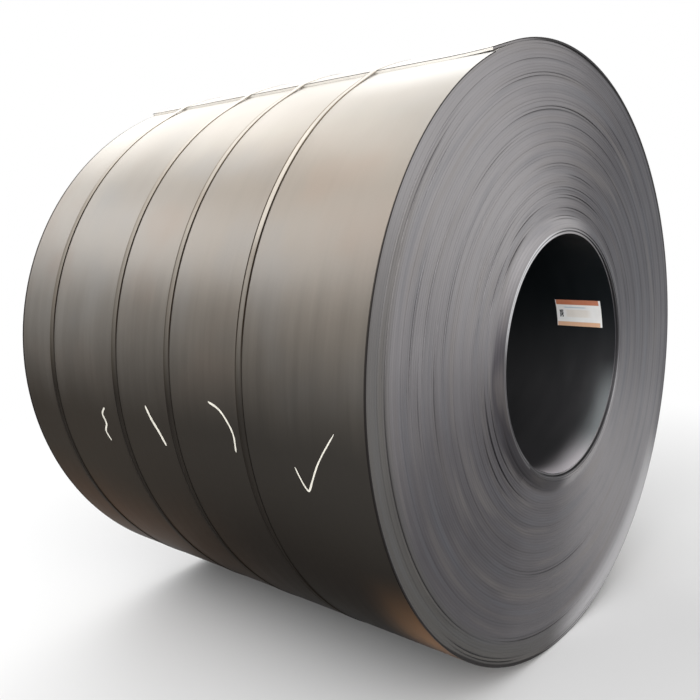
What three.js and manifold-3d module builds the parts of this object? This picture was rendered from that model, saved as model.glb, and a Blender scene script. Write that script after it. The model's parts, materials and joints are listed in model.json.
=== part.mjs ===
// A coil of hot-rolled steel strip lying on its side, tied round with four steel straps.
//
// Millimetres. The coil is laid out standing on its end: its axis is Z, the near end is up, and
// angles run from +X toward +Y. The finished group is then tipped over, so that local +X points
// at the floor, the axis lies along world X, and the near end faces world +X.

import * as THREE from 'three';
import { mergeVertices } from 'three/addons/utils/BufferGeometryUtils.js';
import Module from 'manifold-3d';

const TURN = 2 * Math.PI;
const radians = THREE.MathUtils.degToRad;

// ---- Driving dimensions -----------------------------------------------------------------

const strip = { width: 1550, thickness: 8 };
const boreDiameter = 762;      // the mandrel that the strip was wound on
const wrapCount = 73;

const tail = {                 // the strip's outer end
  angle: 207,
  springLength: 130,           // the last stretch, which springs off the wrap beneath
  springHeight: 5,
};
const head = {                 // the strip's inner end
  angle: 321,
  setback: 9,                  // how far the innermost wrap sits back from the lip
};
const lip = { wraps: 6, height: 15 };     // inner wraps pulled out with the mandrel, as a low cone
const stagger = { wraps: 4, shift: 3 };   // wraps that wandered sideways together, and how far

const strap = { width: 25, thickness: 1 };
const strapPlaces = [422, 726, 988, 1350];   // middle of each strap, from the near end
const seal = { length: 50, thickness: 1, angle: 156 };
const label = { length: 182, height: 103, thickness: 0.5, fromNearEnd: 44, angle: 105.5 };

const clearance = 0.3;         // between touching pieces
const facetCount = 60;         // flats round the coil

// ---- Sizes that follow ------------------------------------------------------------------

const boreRadius = boreDiameter / 2;
const outerRadius = boreRadius + wrapCount * strip.thickness;
const nearEnd = strip.width / 2;
const facet = TURN / facetCount;

// The spiral climbs one strip thickness a turn, so its flats slope a little. The ring of flats
// is turned by that slope, and the lowest one is level.
const slope = Math.atan2(strip.thickness, TURN * outerRadius);

// The edge between two flats that lies nearest to an angle.
function flatEdge(angle) {
  const steps = Math.round(radians(angle) / facet - 0.5);
  return slope + (steps + 0.5) * facet;
}

const tailAngle = flatEdge(tail.angle);
const headAngle = flatEdge(head.angle);

// ---- Materials --------------------------------------------------------------------------

const steel = (color, roughness) =>
  new THREE.MeshStandardMaterial({ color, roughness, metalness: 0.8 });

const materials = {
  coil: () => steel(0x68645f, 0.55),
  strap: () => steel(0x8a8074, 0.45),
  seal: () => steel(0x54504c, 0.4),
  label: () => new THREE.MeshStandardMaterial({ color: 0xdcdad4, roughness: 0.6, metalness: 0 }),
};

function addPiece(parent, name, geometry, material) {
  const piece = new THREE.Mesh(geometry, material);
  piece.name = name;
  parent.add(piece);
  return piece;
}

// ---- Outlines ---------------------------------------------------------------------------

const polar = (radius, angle) =>
  new THREE.Vector2(radius * Math.cos(angle), radius * Math.sin(angle));

// Angles from one to another in even steps no wider than a flat, both ends included.
function arcAngles(from, to) {
  const steps = Math.max(1, Math.round(Math.abs(to - from) / facet));
  return Array.from({ length: steps + 1 }, (_, step) => from + (to - from) * step / steps);
}

// Height that the springing tail adds at an angle before its tip.
function springAt(beforeTip) {
  const along = Math.max(0, 1 - beforeTip * outerRadius / tail.springLength);
  return tail.springHeight * along * along;
}

// Radius of the outermost surface at an angle travelled round from the tail's tip.
const woundRadius = (travelled) => outerRadius - strip.thickness * (1 - travelled / TURN);

// The strip's outer surface: one turn of spiral up to the tail's tip, then back along the
// tail's underside to where it lifts, and out again over the wrap beneath.
function coilOutline() {
  const lift = Math.min(TURN / 4, tail.springLength / outerRadius);
  const overTop = arcAngles(0, TURN)
    .map((travelled) => polar(woundRadius(travelled) + springAt(TURN - travelled), tailAngle + travelled));
  const underside = arcAngles(0, lift)
    .map((before) => polar(woundRadius(TURN - before) - strip.thickness + springAt(before), tailAngle - before));
  const wrapBeneath = arcAngles(lift, 0).slice(1, -1)
    .map((before) => polar(woundRadius(TURN - before) - strip.thickness, tailAngle - before));
  return [...overTop, ...underside, ...wrapBeneath];
}

// Radius of the bore's wall at an angle, on the flats of its one turn of spiral.
function boreWallRadius(angle) {
  const travelled = (angle - headAngle + 2 * TURN) % TURN;
  const flat = Math.floor(travelled / facet);
  const [low, high] = [flat, flat + 1].map((edge) => boreRadius + strip.thickness * edge / facetCount);
  const past = travelled - flat * facet;
  return low * high * Math.sin(facet) / (low * Math.sin(past) + high * Math.sin(facet - past));
}

const boreOutline = () => arcAngles(0, TURN)
  .map((travelled) => polar(boreRadius + strip.thickness * travelled / TURN, headAngle + travelled));

// The tight path of a band pulled round an outline: its convex hull, anticlockwise.
function bandOutline(points) {
  const sorted = [...points].sort((a, b) => a.x - b.x || a.y - b.y);
  const turnsLeft = (a, b, c) => (b.x - a.x) * (c.y - a.y) - (b.y - a.y) * (c.x - a.x) > 1e-6;
  const chain = (list) => {
    const kept = [];
    for (const point of list) {
      while (kept.length > 1 && !turnsLeft(kept.at(-2), kept.at(-1), point)) kept.pop();
      kept.push(point);
    }
    return kept.slice(0, -1);
  };
  return [...chain(sorted), ...chain([...sorted].reverse())];
}

// A convex outline moved outward by a distance.
function grown(points, distance) {
  const normal = (from, to) => new THREE.Vector2(to.y - from.y, from.x - to.x).normalize();
  return points.map((point, index) => {
    const before = normal(points.at(index - 1), point);
    const after = normal(point, points[(index + 1) % points.length]);
    const mitre = before.clone().add(after).multiplyScalar(distance / (1 + before.dot(after)));
    return point.clone().add(mitre);
  });
}

// An outline, with a hole if one is given, drawn out along the axis between two heights.
function drawnOut(outline, hole, from, to) {
  const shape = new THREE.Shape(outline);
  if (hole) shape.holes.push(new THREE.Path(hole));
  const geometry = new THREE.ExtrudeGeometry(shape, { depth: to - from, bevelEnabled: false });
  return geometry.translate(0, 0, from);
}

// ---- Coil -------------------------------------------------------------------------------

// The near end from the bore out, as radius and height: the innermost wrap set back from the
// lip, the lip's cone, and a flat for each group of wraps that wandered together. A wrap climbs
// its own thickness in a turn, so the steps are half a wrap off the bore's own radii.
function nearEndProfile() {
  const wrapRadius = (wrap) => boreRadius + (wrap + 0.5) * strip.thickness;
  const sideways = (group) =>
    stagger.shift * (0.65 * Math.sin(1.9 * group + 0.4) + 0.35 * Math.cos(5.1 * group));
  const points = [
    [wrapRadius(-1), lip.height - head.setback],
    [wrapRadius(1), lip.height - head.setback],
    [wrapRadius(1), lip.height],
  ];
  const groups = Math.max(1, Math.round((wrapCount - lip.wraps - 1) / stagger.wraps));
  for (let group = 0; group < groups; group++) {
    const inner = wrapRadius(1 + lip.wraps + group * stagger.wraps);
    const outer = wrapRadius(1 + lip.wraps + (group + 1) * stagger.wraps);
    const isLast = group === groups - 1;
    points.push([inner, sideways(group)]);
    points.push([isLast ? outerRadius + 2 * tail.springHeight + strip.thickness : outer, sideways(group)]);
  }
  return points.map(([radius, height]) => new THREE.Vector2(radius, nearEnd + height));
}

// Both ends as turned. The strip has one width, so the far end repeats the near one.
function turnedBlank() {
  const near = nearEndProfile();
  const far = near.map((point) => new THREE.Vector2(point.x, point.y - strip.width)).reverse();
  const profile = [...near.reverse(), ...far.reverse(), near[0]];
  const start = slope + 0.5 * facet + TURN / 4;
  return new THREE.LatheGeometry(profile, facetCount, start, TURN).rotateX(TURN / 4);
}

const wasm = await Module();
wasm.setup();

function toSolid(geometry) {
  geometry.deleteAttribute('normal');
  geometry.deleteAttribute('uv');
  const merged = mergeVertices(geometry);
  return new wasm.Manifold(new wasm.Mesh({
    numProp: 3,
    vertProperties: merged.attributes.position.array,
    triVerts: merged.index.array,
  }));
}

function toGeometry(solid) {
  const { vertProperties, triVerts } = solid.getMesh();
  const geometry = new THREE.BufferGeometry();
  geometry.setAttribute('position', new THREE.BufferAttribute(vertProperties, 3));
  geometry.setIndex(new THREE.BufferAttribute(triVerts, 1));
  const flatShaded = geometry.toNonIndexed();
  flatShaded.computeVertexNormals();
  return flatShaded;
}

// The wound section, cut to the turned ends.
function coilGeometry() {
  const reach = strip.width;
  const wound = toSolid(drawnOut(coilOutline(), boreOutline(), -reach, reach));
  return toGeometry(wound.intersect(toSolid(turnedBlank())));
}

// ---- Straps and seals -------------------------------------------------------------------

const strapInside = grown(bandOutline(coilOutline()), clearance);
const strapOutside = grown(strapInside, strap.thickness);

function strapGeometry(place) {
  const middle = nearEnd - place;
  return drawnOut(strapOutside, strapInside, middle - strap.width / 2, middle + strap.width / 2);
}

// A channel crimped over the strap's lapped ends. Its section has u across the strap and
// v outward from the strap's face.
function sealGeometry() {
  const inside = strap.width / 2 + clearance;
  const outside = inside + seal.thickness;
  const foot = -strap.thickness;
  const section = [
    [-outside, foot], [-inside, foot], [-inside, clearance], [inside, clearance],
    [inside, foot], [outside, foot], [outside, clearance + seal.thickness],
    [-outside, clearance + seal.thickness],
  ].map(([u, v]) => new THREE.Vector2(u, v));
  return drawnOut(section, null, -seal.length / 2, seal.length / 2);
}

// The middle of the strap's flat that lies nearest to an angle, and its outward normal.
function strapFlat(angle) {
  const flats = strapOutside.map((from, index) => {
    const to = strapOutside[(index + 1) % strapOutside.length];
    const along = to.clone().sub(from).normalize();
    return { middle: from.clone().lerp(to, 0.5), normal: new THREE.Vector3(along.y, -along.x, 0) };
  });
  const aim = polar(1, radians(angle));
  const nearness = (flat) => flat.middle.dot(aim) / flat.middle.length();
  return flats.reduce((best, flat) => (nearness(flat) > nearness(best) ? flat : best));
}

function placeSeal(piece, place) {
  const { middle, normal } = strapFlat(seal.angle);
  const axis = new THREE.Vector3(0, 0, 1);
  const along = new THREE.Vector3().crossVectors(axis, normal);
  piece.quaternion.setFromRotationMatrix(new THREE.Matrix4().makeBasis(axis, normal, along));
  piece.position.set(middle.x, middle.y, nearEnd - place);
}

// ---- Label ------------------------------------------------------------------------------

// A paper label stuck to the bore's wall, bent to its flats.
function labelGeometry() {
  const half = label.height / 2 / boreRadius;
  const [from, to] = [radians(label.angle) - half, radians(label.angle) + half];
  const firstEdge = Math.ceil((from - headAngle) / facet);
  const angles = [from];
  for (let angle = headAngle + firstEdge * facet; angle < to; angle += facet) angles.push(angle);
  angles.push(to);
  const back = angles.map((angle) => polar(boreWallRadius(angle) - clearance, angle));
  const face = angles.map((angle) => polar(boreWallRadius(angle) - clearance - label.thickness, angle));
  const top = nearEnd - label.fromNearEnd;
  return drawnOut([...back, ...face.reverse()], null, top - label.length, top);
}

// ---- Assembly ---------------------------------------------------------------------------

function steelCoil() {
  const coil = new THREE.Group();
  addPiece(coil, 'coil', coilGeometry(), materials.coil());
  strapPlaces.forEach((place, index) => {
    addPiece(coil, `strap_${index + 1}`, strapGeometry(place), materials.strap());
    placeSeal(addPiece(coil, `seal_${index + 1}`, sealGeometry(), materials.seal()), place);
  });
  addPiece(coil, 'bore_label', labelGeometry(), materials.label());
  return coil;
}

// Tips the coil onto its side and stands it on the origin.
function layDown(coil) {
  coil.rotation.y = TURN / 4;
  const laid = new THREE.Group();
  laid.add(coil);
  const box = new THREE.Box3().setFromObject(laid, true);
  const middle = box.getCenter(new THREE.Vector3());
  coil.position.set(-middle.x, -middle.y, -box.min.z);
  return laid;
}

export default layDown(steelCoil());
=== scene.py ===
"""Looks for the coil of hot-rolled strip: the wound strip, its straps and seals, its label and
its chalk marks. Metres throughout. Angles run round the coil's axis from +Y toward +Z."""

import json
import math

import bpy
import numpy as np
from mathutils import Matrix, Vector
from mathutils.geometry import convex_hull_2d


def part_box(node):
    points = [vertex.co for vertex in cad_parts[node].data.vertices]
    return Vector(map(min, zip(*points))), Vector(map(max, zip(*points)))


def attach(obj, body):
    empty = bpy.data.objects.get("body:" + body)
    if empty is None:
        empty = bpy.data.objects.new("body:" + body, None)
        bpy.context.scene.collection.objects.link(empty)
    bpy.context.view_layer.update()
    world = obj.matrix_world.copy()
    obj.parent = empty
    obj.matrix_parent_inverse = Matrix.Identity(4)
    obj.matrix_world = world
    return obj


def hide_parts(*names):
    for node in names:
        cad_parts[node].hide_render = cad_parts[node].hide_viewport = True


MM = 0.001
FULL_CIRCLE = 2 * math.pi

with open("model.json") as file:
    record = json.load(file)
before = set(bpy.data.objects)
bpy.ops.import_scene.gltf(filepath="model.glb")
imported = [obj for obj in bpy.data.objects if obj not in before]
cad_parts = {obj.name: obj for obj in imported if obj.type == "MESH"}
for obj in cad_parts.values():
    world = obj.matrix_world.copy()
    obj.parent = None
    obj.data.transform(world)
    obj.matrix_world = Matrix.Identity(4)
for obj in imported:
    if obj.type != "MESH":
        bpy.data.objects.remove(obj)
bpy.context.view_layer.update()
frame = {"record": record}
COIL_LOW, COIL_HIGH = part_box("coil")


def opening(name):
    """The box of an opening that the record declares, as two corners."""
    for declared in frame["record"]["physics"]["openings"]:
        if declared["name"] == name:
            return [Vector(corner) for corner in declared["box_m"]]
    raise KeyError(name)


BORE_LOW, BORE_HIGH = opening("bore_square")
AXIS = (BORE_LOW + BORE_HIGH) / 2

# ---- The strip ----------------------------------------------------------------------------

STRIP_WIDTH = 1550 * MM
BORE_RADIUS = 381 * MM
HEAD_ANGLE = 231.07          # degrees, where the strip starts in the bore
TAIL_ANGLE = 117.07          # where it ends on the outside
FULL_TURNS = 71
TURNS = FULL_TURNS + (TAIL_ANGLE - HEAD_ANGLE + 360) / 360
LIP_HEIGHT = 15 * MM         # the inner wraps stand out toward the near end as a low cone
HEAD_SETBACK = 9 * MM        # and the innermost sits back from the rest of the lip
HEAD_TRIM = 30 * MM          # how much further its corner is trimmed back where it starts
TAIL_SPRING = 0.2 * MM       # how far the tail's tip stands off
TAIL_SPRING_LENGTH = 130 * MM
TAIL_LIFT = 5 * MM           # how much further its free corner at the near end does
TAIL_LIFT_LENGTH = 170 * MM  # and how far from the near end that reaches
TAIL_TRIM = 7 * MM           # how far that corner is cut back
TAIL_TRIM_LENGTH = 50 * MM

NEAR_END = COIL_HIGH.x - LIP_HEIGHT
FAR_END = NEAR_END - STRIP_WIDTH
# The lowest point of the coil lies on the wrap that the tail ends, a part of a turn before it.
TAIL_PAST_BOTTOM = (TAIL_ANGLE + 90) / 360
PITCH = (AXIS.z - COIL_LOW.z - BORE_RADIUS) / (TURNS + 1 - TAIL_PAST_BOTTOM)
OUTER_RADIUS = BORE_RADIUS + (TURNS + 1) * PITCH
AROUND = FULL_CIRCLE * OUTER_RADIUS


def wound_radius(degrees):
    """The coil's outer radius at an angle round it."""
    return OUTER_RADIUS - PITCH * ((TAIL_ANGLE - degrees) % 360) / 360


def bore_radius(degrees):
    """The bore's radius at an angle round it."""
    return BORE_RADIUS + PITCH * ((degrees - HEAD_ANGLE) % 360) / 360


# ---- Camera -------------------------------------------------------------------------------

VIEW_AZIMUTH = 35.2695       # degrees
VIEW_ELEVATION = 5.5397      # degrees, looking down
CAMERA_FROM_NEAR_END = Vector((1.0507, -2.1060, 0.3171))
SENSOR_WIDTH = 36            # mm, like the lens
LENS = 37.416
LENS_SHIFT = (-0.15, -0.03453)
CLOSEST, FURTHEST = 0.05, 200


def add_camera():
    data = bpy.data.cameras.new("camera")
    data.sensor_width = SENSOR_WIDTH
    data.lens = LENS
    data.shift_x, data.shift_y = LENS_SHIFT
    data.clip_start, data.clip_end = CLOSEST, FURTHEST
    camera = bpy.data.objects.new("camera", data)
    bpy.context.scene.collection.objects.link(camera)
    camera.location = Vector((NEAR_END, AXIS.y, AXIS.z)) + CAMERA_FROM_NEAR_END
    camera.rotation_euler = (math.radians(90 - VIEW_ELEVATION), 0, math.radians(VIEW_AZIMUTH))
    bpy.context.scene.camera = camera


# ---- Nodes --------------------------------------------------------------------------------


class Value:
    """A number or colour that nodes work out at each point. Arithmetic adds Math nodes."""

    def __init__(self, nodes, socket):
        self.nodes = nodes
        self.socket = socket

    def __add__(self, other):
        return self.nodes.maths("ADD", self, other)

    def __radd__(self, other):
        return self.nodes.maths("ADD", other, self)

    def __sub__(self, other):
        return self.nodes.maths("SUBTRACT", self, other)

    def __rsub__(self, other):
        return self.nodes.maths("SUBTRACT", other, self)

    def __mul__(self, other):
        return self.nodes.maths("MULTIPLY", self, other)

    def __rmul__(self, other):
        return self.nodes.maths("MULTIPLY", other, self)

    def __truediv__(self, other):
        return self.nodes.maths("DIVIDE", self, other)

    def __pow__(self, other):
        return self.nodes.maths("POWER", self, other)

    def __neg__(self):
        return self.nodes.maths("MULTIPLY", self, -1.0)

    def step(self, low, high):
        """A smooth rise from 0 at low to 1 at high, or a fall where high is the smaller."""
        falls = high < low
        limits = (high, low) if falls else (low, high)
        risen = self.nodes.node(
            "ShaderNodeMapRange", {"interpolation_type": "SMOOTHSTEP"}, (self, *limits)
        )
        return 1 - risen if falls else risen

    def between(self, start, full, fading, gone):
        """A smooth rise from 0 at start to 1 at full, and a fall from fading to 0 at gone."""
        return self.step(start, full) * self.step(gone, fading)


class Nodes:
    """The nodes of a finish or of the backdrop."""

    def __init__(self, tree):
        self.tree = tree
        tree.nodes.clear()

    def node(self, kind, settings=None, inputs=(), output=0):
        """Adds a node: its settings first, then the values or links of its sockets."""
        made = self.tree.nodes.new(kind)
        for name, value in (settings or {}).items():
            setattr(made, name, value)
        sockets = inputs.items() if isinstance(inputs, dict) else enumerate(inputs)
        for key, value in sockets:
            if isinstance(value, Value):
                self.tree.links.new(value.socket, made.inputs[key])
            else:
                made.inputs[key].default_value = value
        return Value(self, made.outputs[output]) if made.outputs else None

    def maths(self, operation, *values):
        return self.node("ShaderNodeMath", {"operation": operation}, values)

    def seen_directly(self):
        """1 for what the camera sees, also mirrored or through something, and 0 for the light."""
        straight, mirrored, through = (
            self.node("ShaderNodeLightPath", output=f"Is {kind} Ray")
            for kind in ("Camera", "Glossy", "Transmission")
        )
        return self.maths("MAXIMUM", self.maths("MAXIMUM", straight, mirrored), through)


class Finish(Nodes):
    """A material, with the places on the coil that its looks follow."""

    def __init__(self, name):
        self.material = bpy.data.materials.new(name)
        self.material.use_nodes = True
        super().__init__(self.material.node_tree)
        self.place = self.node("ShaderNodeTexCoord", output="Object")
        from_axis = self.node(
            "ShaderNodeVectorMath", {"operation": "SUBTRACT"}, (self.place, tuple(AXIS))
        )
        self.x, self.y, self.z = (
            self.node("ShaderNodeSeparateXYZ", inputs=(from_axis,), output=axis)
            for axis in "XYZ"
        )
        self.radius = (self.y * self.y + self.z * self.z) ** 0.5
        self.cos = self.y / self.radius
        self.sin = self.z / self.radius

    def noise(self, vector, scale, detail=2.0, roughness=0.5):
        """Smooth noise about 0.5, from nearly 0 to nearly 1."""
        return self.node(
            "ShaderNodeTexNoise",
            inputs={"Vector": vector, "Scale": scale, "Detail": detail, "Roughness": roughness},
        )

    def cloud(self, scale, detail=2.0, roughness=0.5):
        """Noise that is as fine in every direction."""
        return self.noise(self.place, scale, detail, roughness)

    def streaks(self, across, around, scale=1.0, detail=2.0, roughness=0.5):
        """Noise that is drawn out round the axis."""
        vector = self.node(
            "ShaderNodeCombineXYZ", inputs=(across, self.cos * around, self.sin * around)
        )
        return self.noise(vector, scale, detail, roughness)

    def blend(self, factor, first, second):
        """The first colour where the factor is 0 and the second where it is 1."""
        sockets = {0: factor}
        for key, colour in ((6, first), (7, second)):
            sockets[key] = colour if isinstance(colour, Value) else (*colour, 1.0)
        return self.node("ShaderNodeMix", {"data_type": "RGBA"}, sockets, output=2)

    def angle_from(self, degrees):
        """How nearly a point's angle round the axis agrees with one: 1 at it and -1 opposite."""
        aim = math.radians(degrees)
        return self.cos * math.cos(aim) + self.sin * math.sin(aim)

    def toward(self, degrees, start, full):
        """A patch round the axis about an angle: 0 where a point's agreement with the angle is
        below start, and 1 where it is above full."""
        return self.angle_from(degrees).step(start, full)

    def patches(self, places):
        """The sum of patches round the axis, each from its angle, start, full and amount."""
        parts = [amount * self.toward(*place) for *place, amount in places]
        return sum(parts[1:], parts[0])

    def turns_from(self, degrees):
        """How far round the axis a point lies from an angle, as a part of a turn."""
        angle = self.maths("ARCTAN2", self.sin, self.cos)
        return self.maths("FRACT", angle / FULL_CIRCLE - degrees / 360 + 2)

    def noted(self, name):
        """The number that a mesh keeps with each point under a name."""
        return self.node("ShaderNodeAttribute", {"attribute_name": name}, output="Fac")

    def bump(self, height, distance):
        return self.node("ShaderNodeBump", inputs={"Distance": distance, "Height": height})

    def surface(self, **sockets):
        """The finish's shader, from the values of its sockets by name."""
        inputs = {}
        for name, value in sockets.items():
            is_colour = isinstance(value, tuple) and len(value) == 3
            inputs[name.replace("_", " ")] = (*value, 1.0) if is_colour else value
        self.output(self.node("ShaderNodeBsdfPrincipled", inputs=inputs))
        return self

    def output(self, shader):
        self.node("ShaderNodeOutputMaterial", inputs={"Surface": shader})


# ---- Finishes -----------------------------------------------------------------------------
# In them x is metres from the coil's middle toward the near end, radius is metres from its
# axis, and sin is how high round it a point lies, from -1 at the bottom to 1 at the top. A pair
# of numbers is the start and the full of a step. Of three, the first is a patch's angle.

# Linear colours of the strip's face. Where there are two, the other is for the far end.
# The dark and the pale scale are a shaded and a lit copy, blended by painted light from above.
SCALE_DARK = (0.040, 0.0365, 0.0325)
SCALE_DARK_FAR = (0.056, 0.050, 0.044)
SCALE_PALE = (0.222, 0.198, 0.172)
SCALE_PALE_FAR = (0.262, 0.246, 0.226)
SCALE_SHEEN = (0.37, 0.35, 0.33)
SCALE_BROWN = (0.26, 0.17, 0.12)
SCALE_COOL = (0.19, 0.22, 0.25)
DUST_AND_SHEEN = (0.740, 0.705, 0.650)
HIGHLIGHT_WHITE = (0.95, 0.94, 0.92)
RUST = (0.340, 0.165, 0.065)
RUST_DARK = (0.085, 0.050, 0.030)
UNDERSIDE_SHADE = (0.010, 0.0085, 0.0075)
SHADOW = (0.012, 0.010, 0.010)
SCALE_GLOSS = (0.35, 0.34, 0.33)
# Where they lie along the coil (x) and up round it (sin)
TO_FAR_END = (0.45, -0.65)
PAINTED_LIGHT_UP = (-0.16, 0.36)
SHEEN_BAND_FROM, SHEEN_BAND_TO = (0.17, 0.32), (0.52, 0.37)
DUST_AND_SHEEN_UP = (0.44, 1.0)
HIGHLIGHT_ALONG, HIGHLIGHT_UP = (0.1, 0.7), (0.76, 0.89)
BROWN_ALONG, BROWN_DOWN = (0.35, -0.35), (0.35, 0.70)
RUST_ALONG, RUST_DOWN = (0.65, 0.85), (0.44, 0.80)
UNDERSIDE_SHADE_DOWN = (0.68, 0.86)
LOW_LEFT = (205, 0.5, 0.9)
# Painted shadow lines along the strip's corners: how wide each is in full, and with its soft
# side.
NEAR_LINE = (1.2 * MM, 2.6 * MM)
NEAR_LINE_WIDER = 2 * MM     # how much wider that one is at the lower left
FAR_LINE = (7 * MM, 10 * MM)
TIP_LINE = (6 * MM, 9 * MM)


def mill_scale():
    """The strip's face outside: dark scale with painted light, dust and a painted sheen on top,
    rust at the edges, painted shade below.
    """
    finish = Finish("mill_scale")
    x, sin = finish.x, finish.sin
    streaks = finish.streaks(x * 26, 1.5, detail=4.0, roughness=0.6)
    cloud = finish.cloud(2.2, 3.0, 0.55)
    tint = finish.cloud(3.4)
    fine = finish.cloud(160.0, 2.0, 0.6)
    mottle = 0.55 * streaks + 0.45 * cloud
    far = x.step(*TO_FAR_END)
    pale = finish.blend(far, SCALE_PALE, SCALE_PALE_FAR)
    dark = finish.blend(far, SCALE_DARK, SCALE_DARK_FAR)
    # Painted light: paler toward the top and darker below, as light falls on the coil.
    painted_light_above = (sin + 0.12 * (mottle - 0.5) + 0.05 * far).step(*PAINTED_LIGHT_UP)
    painted_light_tone = finish.blend(painted_light_above * (0.7 + 0.6 * mottle), dark, pale)
    # A painted sheen: a paler band on the upper side, stronger toward the far end.
    painted_sheen_band = sin.step(*SHEEN_BAND_FROM) * (sin - 0.10 * far).step(*SHEEN_BAND_TO)
    scale = finish.blend(painted_sheen_band * (0.16 + 0.30 * far), painted_light_tone, SCALE_SHEEN)
    browned = finish.blend(tint.step(0.50, 0.72) * painted_light_above * 0.17, scale, SCALE_BROWN)
    cooled = finish.blend(tint.step(0.48, 0.28) * painted_light_above * 0.15, browned, SCALE_COOL)

    # Dust and a painted sheen lie on top, less over the middle bays; a painted highlight at the
    # near end.
    less_on_top = 0.03 * x.step(0.1, 0.75) + 0.045 * x.between(-0.7, -0.3, 0.35, 0.75)
    dust_and_sheen = (sin + 0.10 * (cloud - 0.5) - less_on_top).step(*DUST_AND_SHEEN_UP)
    with_dust_and_sheen = finish.blend(dust_and_sheen, cooled, DUST_AND_SHEEN)
    painted_highlight_near_end = x.step(*HIGHLIGHT_ALONG) * sin.step(*HIGHLIGHT_UP)
    dust_sheen_and_highlight = finish.blend(painted_highlight_near_end * 0.8, with_dust_and_sheen, HIGHLIGHT_WHITE)

    # Rust lies low, brown toward the far end and orange along the near end's edge.
    far_low = (-sin + 0.2 * (cloud - 0.5)).step(*BROWN_DOWN) * x.step(*BROWN_ALONG)
    brown = finish.blend(far_low * (0.4 + 0.8 * cloud), dust_sheen_and_highlight, RUST_DARK)
    edge = (x - 0.12 * sin + 0.05 * (cloud - 0.5)).step(*RUST_ALONG) * (-sin).step(*RUST_DOWN)
    rusty = finish.blend(edge * (0.5 + 0.7 * streaks), brown, RUST)
    # Painted shade: the underside is painted nearly black.
    painted_underside_shade = finish.blend((-sin).step(*UNDERSIDE_SHADE_DOWN) * 0.85, rusty, UNDERSIDE_SHADE)

    # Painted shadow lines along the near and far corners, and just before the tail's tip.
    near_end, far_end = NEAR_END - AXIS.x, FAR_END - AXIS.x
    widened = x + NEAR_LINE_WIDER * finish.toward(*LOW_LEFT)
    near_line = widened.step(near_end - NEAR_LINE[1], near_end - NEAR_LINE[0])
    far_line = x.step(far_end + FAR_LINE[1], far_end + FAR_LINE[0])
    before_end = 1 - finish.turns_from(TAIL_ANGLE)
    tip_line = before_end.step(TIP_LINE[1] / AROUND, TIP_LINE[0] / AROUND)
    tip_line = tip_line * (0.4 + 0.6 * x.step(-0.5, -0.3))
    lines = 0.8 * (near_line + far_line + tip_line)
    return finish.surface(
        Base_Color=finish.blend(lines, painted_underside_shade, SHADOW),
        Metallic=0.90 - 0.50 * dust_and_sheen - 0.35 * edge,
        Roughness=0.34 + 0.10 * streaks + 0.12 * dust_and_sheen,
        Specular_Tint=SCALE_GLOSS,
        Normal=finish.bump(0.7 * streaks + 0.3 * fine, 0.4 * MM),
    )


# The ends' steel and dark tones are a lit and a shaded copy, blended by painted sheen and shade.
EDGE_STEEL = (0.345, 0.331, 0.337)
EDGE_DARK = (0.070, 0.065, 0.072)
EDGE_WARM = (0.230, 0.208, 0.188)
EDGE_OLIVE = (0.098, 0.094, 0.082)
EDGE_COOL = (0.125, 0.135, 0.155)
LIP_HIGHLIGHT = (0.830, 0.830, 0.850)
GAP_SHADOW = (0.006, 0.006, 0.006)
GROOVE_SHADE = (0.020, 0.019, 0.021)
OUTER_RIM = 3.2 * MM         # how far in the painted shade on the outermost wrap's corner reaches
SHEEN_ANGLE = 133            # where the painted sheen on the ends is brightest, in degrees
RIGHT, RIGHT_RIM = (5, 0.2, 1.0), (5, 0.6, 0.95)
LOW_RIGHT, LOW_RIGHT_RIM = (299, 0.80, 0.99), (0.85, 0.93)
DRAWN_SMOOTH = (278, 0.3, 0.9)
OLIVE, OLIVE_RIM = (215, 0.3, 0.9), (0.865, 0.91)
HOLLOW = (226, 0.7, 1.0)
CREST_LIT = (137, 0.74, 0.95)
GAP_OPEN = (255, 0.7, 0.95)
# Patches with a fourth number, their amount: of painted light and shade on the lip, of painted
# shade on the whole end, and of how much wider the painted rim shade is.
LIP_LIGHTS = [
    (106, 0.3, 1.0, 1.0), (35, 0.5, 1.0, -1.0), (224, 0.6, 1.0, -2.3),
    (160, 0.6, 1.0, -1.05), (300, 0.5, 1.0, 1.1),
]
END_SHADES = [(46, 0.7, 1.0, 0.14), (212, 0.8, 1.0, 0.09)]
RIM_WIDER = [(58, 0.6, 0.95, 4.4), (205, 0.5, 0.9, 0.6), (245, 0.93, 0.99, 2.4)]


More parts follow.
